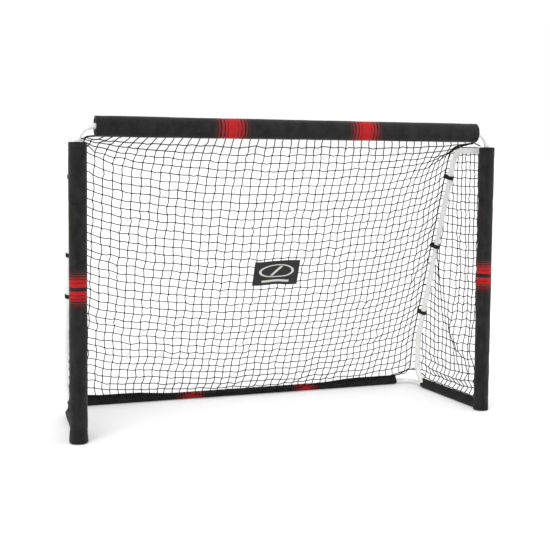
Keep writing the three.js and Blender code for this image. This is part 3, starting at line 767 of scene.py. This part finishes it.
def shifted_hoop(offset):
    """The hoop's rear outline moved outwards, as corners in the hoop's plane."""
    (top_y, top_z), (knee_y, knee_z) = HOOP_CORNERS[:2]
    leg = unit(np.array([top_y - knee_y, top_z - knee_z]))
    out = np.array([leg[1], -leg[0]])
    top = (top_y + offset * (1 - out[1]) / out[0], top_z + offset)
    knee = (knee_y + offset, knee_z + offset * (1 - out[0]) / out[1])
    return top, knee


def rope_path(side):
    """The thick edge rope: inside and behind the hoop, from the crossbar's end to its foot."""
    top, knee = shifted_hoop(CORD_BACK)
    start = (0.098, ARM_Z + CORD_BACK + 0.020)
    foot = (HOOP_CORNERS[2][0] + CORD_BACK + 0.028, ROPE_FOOT_Z)
    corners = [hoop_point(side, -CORD_IN, y, z) for y, z in (start, top, knee, foot)]
    return rounded(corners, [HOOP_RADII[0] + CORD_BACK, HOOP_RADII[1]], 16)


def net_edge(side):
    """Where the back net is tied at one side: crossbar end, rope, then the rear sleeve's end."""
    start = np.array([side * HEAD_X, POST_Y + HEAD_BACK, BAR_Z - 0.050])
    knot = np.array([side * 1.078, POST_Y + 0.076, 1.506])
    foot_x = side * (post_x(side, 0) - 0.052) - side * 0.75 * TOE[side]
    foot = np.array([foot_x, REAR_Y - 0.012, 0.066])
    return np.concatenate([[start, knot], rope_path(side), [foot]])


def at_lengths(marks, counts):
    """Fractions of a line that split it evenly between marks, which are fractions too."""
    out = [0.0]
    for low, high, count in zip(marks, marks[1:], counts):
        out += list(low + (high - low) * np.arange(1, count + 1) / count)
    return np.array(out)


def fraction_at_height(line, z, after=0.1):
    run = length_along(line) / length_along(line)[-1]
    for (a, b, fa, fb) in zip(line, line[1:], run, run[1:]):
        if fa >= after and (a[2] - z) * (b[2] - z) <= 0:
            return fa + (fb - fa) * (a[2] - z) / (a[2] - b[2])
    raise ValueError("the line never reaches that height")


# the back net's middle cord from crossbar to rear sleeve, as (behind the posts, height)
MIDDLE_LINE = [(0.030, 1.5065), (0.060, 1.455), (0.092, 1.380), (0.150, 1.272), (0.200, 1.120),
               (0.262, 0.930), (0.335, 0.740), (0.430, 0.520), (0.615, 0.195), (0.745, 0.0405)]


def relax(points, fixed, a, b, rest, steps, pull=4e-5, rounds=5, squeeze=0.15):
    """Lets a web of cords settle. Cords resist stretch, and hardly resist being slack."""
    points = points.copy()
    before = points.copy()
    free = ~fixed
    share = np.bincount(a, minlength=len(points)) + np.bincount(b, minlength=len(points))
    share = np.maximum(share, 1)[:, None]
    for _ in range(steps):
        drift = (points - before) * 0.86
        before = points.copy()
        points[free] += drift[free] + np.array([0, 0, -pull])
        for _ in range(rounds):
            gap = points[b] - points[a]
            length = np.linalg.norm(gap, axis=1)
            error = (length - rest) / np.maximum(length, 1e-9)
            error = np.where(error > 0, error, error * squeeze)
            move = gap * (0.5 * error)[:, None]
            count = len(points)
            total = [np.bincount(a, m, count) - np.bincount(b, m, count) for m in move.T]
            points[free] += (np.stack(total, -1) / share * 1.9)[free]
    return points


def back_grid():
    """Knots of the back net before it settles: rows from crossbar to floor, columns across."""
    left, right = net_edge(-1), net_edge(1)
    marks = [0.0, fraction_at_height(left, 1.405), 1.0]
    parts = at_lengths(marks, [SEAM_ROW, ROWS - SEAM_ROW])
    left, right = resample(left, parts), resample(right, parts)
    line = smooth_line([(0.0, y + POST_Y, z) for y, z in MIDDLE_LINE], 0.004)
    seam = fraction_at_height(line, 1.276, 0.05)
    centre = resample(line, at_lengths([0.0, seam, 1.0], [SEAM_ROW, ROWS - SEAM_ROW]))
    u = np.linspace(-1, 1, COLUMNS + 1)
    grid = np.empty((ROWS + 1, COLUMNS + 1, 3))
    for j in range(ROWS + 1):
        edge = np.where((u < 0)[:, None], left[j], right[j])
        sag = 1 - np.abs(u) ** 2.2
        half = abs(edge[:, 0])
        grid[j] = edge + (centre[j] - edge) * sag[:, None]
        grid[j, :, 0] = u * half
    grid[0, :, 0] = u * HEAD_X
    grid[0, :, 1] = POST_Y + HEAD_BACK
    grid[0, :, 2] = BAR_Z - 0.0485
    reach = REAR_PAD[1].x - 0.004
    for i in range(COLUMNS + 1):
        x = max(-reach, min(reach, grid[-1, i, 0] * reach / 1.045))
        if 0 < i < COLUMNS:
            grid[-1, i] = (x, REAR_Y - 0.001, rear_height((x + reach) / (2 * reach)) - 0.003)
    return grid


def web_links(shape):
    """Both ends of each cord between neighbours of a grid, as point numbers."""
    index = np.arange(shape[0] * shape[1]).reshape(shape)
    a = np.concatenate([index[:, :-1].ravel(), index[:-1].ravel()])
    b = np.concatenate([index[:, 1:].ravel(), index[1:].ravel()])
    return a, b


def settle_back(grid):
    """The back net's knots after its cords, none quite the same length, have settled."""
    shape = grid.shape[:2]
    a, b = web_links(shape)
    points = grid.reshape(-1, 3)
    rest = np.linalg.norm(points[a] - points[b], axis=1)
    rest = rest * (1.012 + rng.normal(0, 0.045, len(rest)))
    fixed = np.zeros(shape, bool)
    fixed[0] = fixed[-1] = True
    fixed[:, 0] = fixed[:, -1] = True
    # the seam between roof and back is a doubled, tighter cord
    index = np.arange(len(points)).reshape(shape)
    seam = (np.isin(a, index[SEAM_ROW]) & np.isin(b, index[SEAM_ROW]))
    rest[seam] = np.linalg.norm(points[a] - points[b], axis=1)[seam] * 0.995
    moved = relax(points, fixed.ravel(), a, b, rest, 160)
    return moved.reshape(*shape, 3)


def cell_cord(line, slack=0.0022):
    """A cord through knots: a point is added between each two, off the straight by a little."""
    line = np.asarray(line, float)
    mids = (line[:-1] + line[1:]) / 2
    along = unit(line[1:] - line[:-1])
    wander = rng.normal(0, slack, mids.shape)
    wander -= along * (wander * along).sum(1, keepdims=True)
    mids = mids + wander + np.array([0, 0, -0.0006])
    out = np.empty((len(line) + len(mids), 3))
    out[0::2], out[1::2] = line, mids
    return out


def strand(build, line, normal=(0.3, -1, 0.3)):
    build.tube(line, NET_CORD_R, 5, normal)


KNOT = np.array([(1, 0, 0), (-1, 0, 0), (0, 1, 0), (0, -1, 0), (0, 0, 1), (0, 0, -1)], float)
KNOT_FACES = np.array([(0, 2, 4), (2, 1, 4), (1, 3, 4), (3, 0, 4),
                       (2, 0, 5), (1, 2, 5), (3, 1, 5), (0, 3, 5)])
KNOT_SIZE = 0.0050


def knots(build, points):
    for p in points:
        turn = rng.uniform(0, math.pi)
        c, s = math.cos(turn), math.sin(turn)
        x, y, z = (KNOT * KNOT_SIZE * rng.uniform(0.85, 1.2)).T
        build.add(p + np.stack([c * x - s * z, y, s * x + c * z], -1), KNOT_FACES)


def back_net():
    grid = settle_back(back_grid())
    build = Build()
    for j in range(1, ROWS + 1):
        if j == SEAM_ROW:
            continue
        strand(build, cell_cord(grid[j]))
    for i in range(COLUMNS + 1):
        strand(build, cell_cord(grid[:, i]), normal=(1, 0.2, 0))
    knots(build, grid[1:, 1:-1].reshape(-1, 3))
    build.object("netting_back", "cord", "net", ["net_back", "net_roof"])
    seam = Build()
    line = smooth_line(grid[SEAM_ROW], 0.011)
    twisted(seam, line, 0.0021, 0.016)
    seam.object("netting_seam", "cord", "net", ["net_seam_cord"])
    return grid


def twisted(build, line, radius, lay, sides=9):
    """Three-strand rope along a line; lay is the length of one full twist."""
    run = length_along(line)

    def section(rows, angle):
        turn = run[rows][:, None] * 2 * math.pi / lay
        return 1 + 0.16 * np.cos(3 * (angle[None] - turn))

    build.tube(line, radius, sides, (0.2, 0.1, 1), section)


# ---- the net at each side --------------------------------

CELL = 0.0445
SIDE_FRONT = 0.0425
SIDE_LOW = 0.0590
LEG_FOOT_Z = 0.09                # a row lower than this ends short of the leg's foot bend
# The side nets: distance out of the hoop's plane at the post and at the leg, how far the edge
# stops short of the hoop's centreline, and the cords' way round the tube to the rope as
# (out, rear) steps.
SIDE_NET = {
    "left": (-0.004, -0.0100, 0.0165,
             [(-0.0100, -0.0165), (-0.0160, -0.0085), (-0.0182, 0.0), (-0.0215, 0.0100),
              (-CORD_IN, CORD_BACK)]),
    "right": (0.006, 0.0172, 0.0,
              [(0.0172, 0.002), (0.0150, 0.0088), (0.0085, 0.0152), (0.0, 0.0176), (-0.012, 0.0186),
               (-CORD_IN, CORD_BACK)]),
}
# the crease where a side net sinks in, as (behind the post, height)
FOLD = [(0.050, 0.335), (0.090, 0.345), (0.224, 0.371), (0.291, 0.440), (0.387, 0.609),
        (0.430, 0.820), (0.450, 0.900)]
FOLD_WIDTH = 0.078


def hoop_outline(inset):
    """Centreline of arm and leg in the hoop's plane, front to foot, moved inwards by inset."""
    corners = [(SIDE_FRONT, ARM_Z - inset), *shifted_hoop(-inset), (0.691 - inset, 0.085)]
    flat = rounded([(0.0, y, z) for y, z in corners], [r - inset for r in HOOP_RADII[:2]], 20)
    return evenly(flat, 0.004)[:, 1:]


def wrap_round(side, y, z, outline, inset, way):
    """From the edge of the side net, round the tube, to the rope: points in space."""
    k = int(np.argmin(np.hypot(outline[:, 0] - y, outline[:, 1] - z)))
    k = min(max(k, 1), len(outline) - 2)
    along = unit(outline[k + 1] - outline[k - 1])
    back = np.array([-along[1], along[0]])
    if back[0] + back[1] < 0:
        back = -back
    spots = [(out, y + back[0] * (rear + inset), z + back[1] * (rear + inset)) for out, rear in way]
    return np.array([hoop_point(side, *spot) for spot in spots])


def side_net(name, side):
    """The net between post, arm and leg: square cells, creased inwards along FOLD."""
    out_front, out_back, inset, way = SIDE_NET[name]
    outline = hoop_outline(inset)
    arm_z = ARM_Z - inset
    columns = SIDE_FRONT + CELL * np.arange(0, 16)
    rows = SIDE_LOW + CELL * np.arange(0, 32)
    nodes, fixed, keys = [], [], {}

    def node(y, z, pinned, key=None):
        if key in keys:
            return keys[key]
        nodes.append((y, z))
        fixed.append(pinned)
        if key is not None:
            keys[key] = len(nodes) - 1
        return len(nodes) - 1

    leg = outline[np.argmax(outline[:, 1] < arm_z - 0.002) - 1:]

    def leg_y(z):
        return float(np.interp(z, leg[::-1, 1], leg[::-1, 0]))

    def top_z(y):
        return arm_z if y < leg[0, 0] else float(np.interp(y, leg[:, 0], leg[:, 1]))

    lines, tails = [], []
    for j, z in enumerate(rows):
        if z > arm_z - 0.012:
            continue
        end = leg_y(z) if z > LEG_FOOT_Z else 0.640 + (z - SIDE_LOW) * 1.6
        inside = [(i, y) for i, y in enumerate(columns) if y < end - CELL * 0.3]
        row = [node(y, z, i == 0 or j == 0, (i, j)) for i, y in inside]
        row.append(node(end, z, True))
        lines.append(row)
        if z > LEG_FOOT_Z:
            tails.append(row[-1])
    for i, y in enumerate(columns[1:], 1):
        column = [keys[(i, j)] for j in range(len(rows)) if (i, j) in keys]
        if not column:
            continue
        top = top_z(y) if y < 0.66 - inset else 0
        if top > nodes[column[-1]][1] + CELL * 0.25:
            column.append(node(y, top, True))
            tails.append(column[-1])
        lines.append(column)
    flat = np.array(nodes)
    fixed = np.array(fixed)
    gap = flat[:, None] - evenly(np.array(FOLD), 0.006)[None]
    distance = np.hypot(gap[..., 0], gap[..., 1])
    nearest = distance.argmin(1)
    d = distance.min(1)
    toward = -unit(gap[np.arange(len(flat)), nearest])
    gather = 0.007 * np.tanh(d / FOLD_WIDTH) * np.exp(-(d / (2.0 * FOLD_WIDTH)) ** 2)
    inward = 0.032 * np.exp(-(d / FOLD_WIDTH) ** 2)
    widths = np.array([leg_y(max(z, 0.095)) for z in flat[:, 1]]) - SIDE_FRONT
    share = (flat[:, 0] - SIDE_FRONT) / np.maximum(0.1, widths)
    moved = flat.copy()
    moved[~fixed] += (toward * gather[:, None])[~fixed]
    belly = np.sin(np.clip(share, 0, 1) * math.pi)
    sag = 0.010 * belly * np.clip((1.3 - flat[:, 1]) / 0.6, 0, 1)
    moved[~fixed, 1] -= sag[~fixed]
    out = out_front + (out_back - out_front) * np.clip(share, 0, 1)
    swell = 0.012 * belly * np.sin(np.clip(flat[:, 1] / 1.4, 0, 1) * math.pi)
    out = np.where(fixed, out, out - inward + swell)
    points = np.array([hoop_point(side, o, y, z) for o, (y, z) in zip(out, moved)])
    a = np.array([p for line in lines for p in line[:-1]])
    b = np.array([p for line in lines for p in line[1:]])
    rest = np.linalg.norm(points[a] - points[b], axis=1)
    slack = 1.01 + 0.05 * np.exp(-((d[a] + d[b]) / 2 / 0.08) ** 2)
    rest = rest * (slack + rng.normal(0, 0.045, len(rest)))
    points = relax(points, fixed, a, b, rest, 140, pull=3e-5)
    build = Build()
    for line in lines:
        strand(build, cell_cord(points[line]), normal=(1, 0.1, 0.2))
    for tail in tails:
        y, z = nodes[tail]
        guide = (0.1, 0.2, 1) if z < arm_z - 0.05 else (0.1, 1, 0.2)
        strand(build, wrap_round(side, y, z, outline, inset, way), normal=guide)
    inner = [k for k in range(len(nodes)) if not fixed[k]]
    knots(build, points[inner])
    build.object(f"netting_side_{name}", "cord", "net", [f"net_side_{name}"])


# ---- ropes and straps ------------------------------------


def edge_rope(name, side):
    build = Build()
    twisted(build, evenly(rope_path(side), 0.005), ROPE_R, ROPE_LAY)
    build.object(f"rope_corner_{name}", "rope", "net", [f"net_corner_cord_{name}"])


# the short rope at each hoop's foot, as (out of the hoop's plane, behind the post, height)
FOOT_ROPE = {
    -1: [(-0.021, 0.632, 0.066), (-0.021, 0.672, 0.076), (-0.022, 0.712, 0.088), (-0.026, 0.744, 0.092),
         (-0.050, 0.758, 0.086), (-0.096, 0.768, 0.066)],
    1: [(0.021, 0.632, 0.066), (0.021, 0.708, 0.084), (0.008, 0.734, 0.088), (-0.014, 0.748, 0.090),
        (-0.040, 0.752, 0.086), (-0.078, 0.758, 0.075), (-0.096, 0.768, 0.066)],
}


def foot_rope(name, side):
    build = Build()
    line = smooth_line([hoop_point(side, *p) for p in FOOT_ROPE[side]], 0.005)
    twisted(build, line, ROPE_R, ROPE_LAY)
    build.object(f"rope_foot_{name}", "rope", "net", [f"net_foot_cord_{name}"])


def head_rope():
    half = [(1.040, 0.037, 1.512), (1.078, 0.076, 1.508), (1.098, 0.026, 1.487)]
    corners = [np.array([-x, POST_Y + y, z]) for x, y, z in reversed(half)]
    corners += [np.array([x, POST_Y + y, z]) for x, y, z in half]
    build = Build()
    line = evenly(rounded(corners, [0.006, 0.030, 0.030, 0.006], 8), 0.005)
    twisted(build, line, ROPE_R * 0.94, ROPE_LAY)
    build.object("rope_head", "rope", "net", ["net_head_cord"])


def strap(name, side, which, height):
    """Hook-and-loop tape wound once round tube and rope, its end lapped over."""
    (top_y, top_z), (knee_y, knee_z) = HOOP_CORNERS[:2]
    leg = unit(np.array([knee_y - top_y, knee_z - top_z]))
    y = top_y + (height - top_z) * leg[0] / leg[1]
    centre = hoop_point(side, 0, y, height)
    along = unit(hoop_point(side, 0, y + leg[0], height + leg[1]) - centre)
    outward = unit(hoop_point(side, 1, y, height) - centre)
    rear = unit(np.cross(outward, along))
    if rear[1] < 0:
        rear = -rear
    big, small = TUBE_R + 0.0012, ROPE_R + 0.0022
    far = np.array([-CORD_IN, CORD_BACK])
    distance = float(np.hypot(*far))
    heading = math.atan2(far[1], far[0])
    spread = math.acos((big - small) / distance)
    track = []
    for a in np.linspace(heading + spread, heading - spread + 2 * math.pi, 40):
        track.append((big * math.cos(a), big * math.sin(a)))
    for a in np.linspace(heading - spread, heading + spread, 12):
        track.append((far[0] + small * math.cos(a), far[1] + small * math.sin(a)))
    track = evenly(np.array(track + [track[0]]), 0.0018)
    lap = int(len(track) * 0.30)
    track = np.concatenate([track, track[1:lap]])
    step = unit(np.gradient(track, axis=0))
    normal = np.stack([step[:, 1], -step[:, 0]], -1)
    total = len(track)
    lapped = STRAP_CLOTH * 1.15
    turns = [0, total - lap - 6, total - lap + 6, total - 1]
    lift = np.interp(np.arange(total), turns, [0, 0, lapped, lapped])
    rings = []
    half, thick = STRAP_WIDTH / 2, STRAP_CLOTH
    section = [(-half, 0.0003), (-half + 0.0006, 0), (half - 0.0006, 0), (half, 0.0003),
               (half, thick - 0.0003), (half - 0.0008, thick), (0, thick + 0.0002),
               (-half + 0.0008, thick), (-half, thick - 0.0003)]
    for k in range(total):
        base = track[k] + normal[k] * lift[k]
        ring = []
        for w, h in section:
            p = base + normal[k] * h
            ring.append(centre + outward * p[0] + rear * p[1] + along * w)
        rings.append(ring)
    build = Build()
    build.loft(rings)
    build.object(f"tape_{name}_{which}", "strap", "strap", [f"strap_{name}_{which}"])


# ---- label -----------------------------------------------


def label(grid):
    """Woven patch tied to the front of the net, following its shape."""
    low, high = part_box("net_label")
    across, down = 26, 14
    width, height = high.x - low.x, 0.148
    heights = grid[:, COLUMNS // 2, 2]
    top_row = float(np.interp(-(high.z), -heights, np.arange(ROWS + 1)))
    pitch = float(np.linalg.norm(np.diff(grid[12:24, COLUMNS // 2], axis=0), axis=1).mean())
    front, uvs = [], []
    for r in range(down + 1):
        for c in range(across + 1):
            x = low.x + width * c / across
            row = top_row + height * r / down / pitch
            j = int(row)
            f = row - j
            strip = grid[j] * (1 - f) + grid[min(j + 1, ROWS)] * f
            p = np.array([np.interp(x, strip[:, 0], strip[:, k]) for k in range(3)])
            p[0] = x
            front.append(p)
            uvs.append((c / across, 1 - r / down))
    front = np.array(front).reshape(down + 1, across + 1, 3)
    for _ in range(6):
        front[1:-1, :, 1:] = (front[:-2, :, 1:] + 2 * front[1:-1, :, 1:] + front[2:, :, 1:]) / 4
        front[:, 1:-1, 1:] = (front[:, :-2, 1:] + 2 * front[:, 1:-1, 1:] + front[:, 2:, 1:]) / 4
    normal = unit(np.cross(np.gradient(front, axis=1), np.gradient(front, axis=0)))
    if normal[0, 0, 1] > 0:
        normal = -normal
    edge = np.ones((down + 1, across + 1))
    edge[1:-1, 1:-1] = 0.45
    face = front + normal * (0.0055 + 0.0008 * edge)[..., None]
    back = front + normal * 0.0042
    n = (down + 1) * (across + 1)
    index = np.arange(n).reshape(down + 1, across + 1)
    faces = []
    for r in range(down):
        for c in range(across):
            q = [index[r, c], index[r + 1, c], index[r + 1, c + 1], index[r, c + 1]]
            faces.append(q)
            faces.append([v + n for v in reversed(q)])
    rim = list(index[0, :]) + list(index[1:, -1]) + list(index[-1, -2::-1]) + list(index[-2:0:-1, 0])
    for p, q in zip(rim, rim[1:] + rim[:1]):
        faces.append([p, q, q + n, p + n])
    build = Build()
    build.add(np.concatenate([face.reshape(-1, 3), back.reshape(-1, 3)]), faces)
    patch = build.object("patch", "label", "label", ["net_label"])
    layer = patch.data.uv_layers.new(name="patch")
    for loop in patch.data.loops:
        layer.data[loop.index].uv = uvs[loop.vertex_index % n]


# ---- stage -----------------------------------------------


WORLD_LIGHT = 1.0
LAMPS = [("key", (-0.55, -0.75, 1.0), 35, 1.3), ("fill", (0.9, -0.5, 0.8), 50, 0.4)]


def stage():
    build = Build()
    size = 400
    build.add([(-size, -size, 0), (size, -size, 0), (size, size, 0), (-size, size, 0)], [[0, 1, 2, 3]])
    mesh = bpy.data.meshes.new("floor")
    mesh.from_pydata(np.concatenate(build.points).tolist(), [], build.faces)
    mesh.materials.append(MATERIALS["floor"])
    floor = bpy.data.objects.new("floor", mesh)
    link(floor)
    world = bpy.data.worlds.new("studio")
    world.use_nodes = True
    world.node_tree.nodes["Background"].inputs["Color"].default_value = (1, 1, 1, 1)
    world.node_tree.nodes["Background"].inputs["Strength"].default_value = WORLD_LIGHT
    bpy.context.scene.world = world
    bpy.context.scene.view_settings.view_transform = "Standard"
    for name, source, softness, power in LAMPS:
        data = bpy.data.lights.new(name, "SUN")
        data.angle = math.radians(softness)
        data.energy = power
        lamp = bpy.data.objects.new(name, data)
        lamp.rotation_mode = "QUATERNION"
        lamp.rotation_quaternion = (-Vector(source)).to_track_quat("-Z", "Y")
        link(lamp)


# ---- assembly --------------------------------------------

KEPT = ("powder", "spring", "plastic")


def dress_kept_nodes():
    """The CAD nodes that stay in view get the material of their slot."""
    slots = {part["node"]: part["material_slot"] for part in frame["record"]["subparts"]}
    for node, obj in frame["nodes"].items():
        if slots[node] in KEPT:
            for slot in obj.material_slots:
                slot.material = MATERIALS[slots[node]]


dress_kept_nodes()
bar_pad()
rear_ends = [(sign * REAR_PAD[1].x, REAR_Y, 0) for sign in (-1, 1)]
ground_sleeve("sleeve_rear", *rear_ends, rear_height, "rear_cloth", ["rear_sleeve"], "rear_bar")
net_grid = back_net()
label(net_grid)
head_rope()
for side_name, side_sign in SIDES.items():
    side_hoop(side_name, side_sign)
    top_corner(side_name, side_sign)
    post_pad(side_name, side_sign)
    sleeve_ends = [hoop_point(side_sign, 0, y, 0) for y in (0.046, SIDE_SLEEVE_END[side_sign])]
    ground_sleeve(f"sleeve_side_{side_name}", *sleeve_ends, lambda t: SIDE_FLAP_TOP, "side_cloth",
                  [f"side_sleeve_{side_name}"], f"ground_bar_{side_name}")
    side_net(side_name, side_sign)
    edge_rope(side_name, side_sign)
    foot_rope(side_name, side_sign)
    for which, height in STRAP_HEIGHTS[side_name].items():
        strap(side_name, side_sign, which, height)
stage()
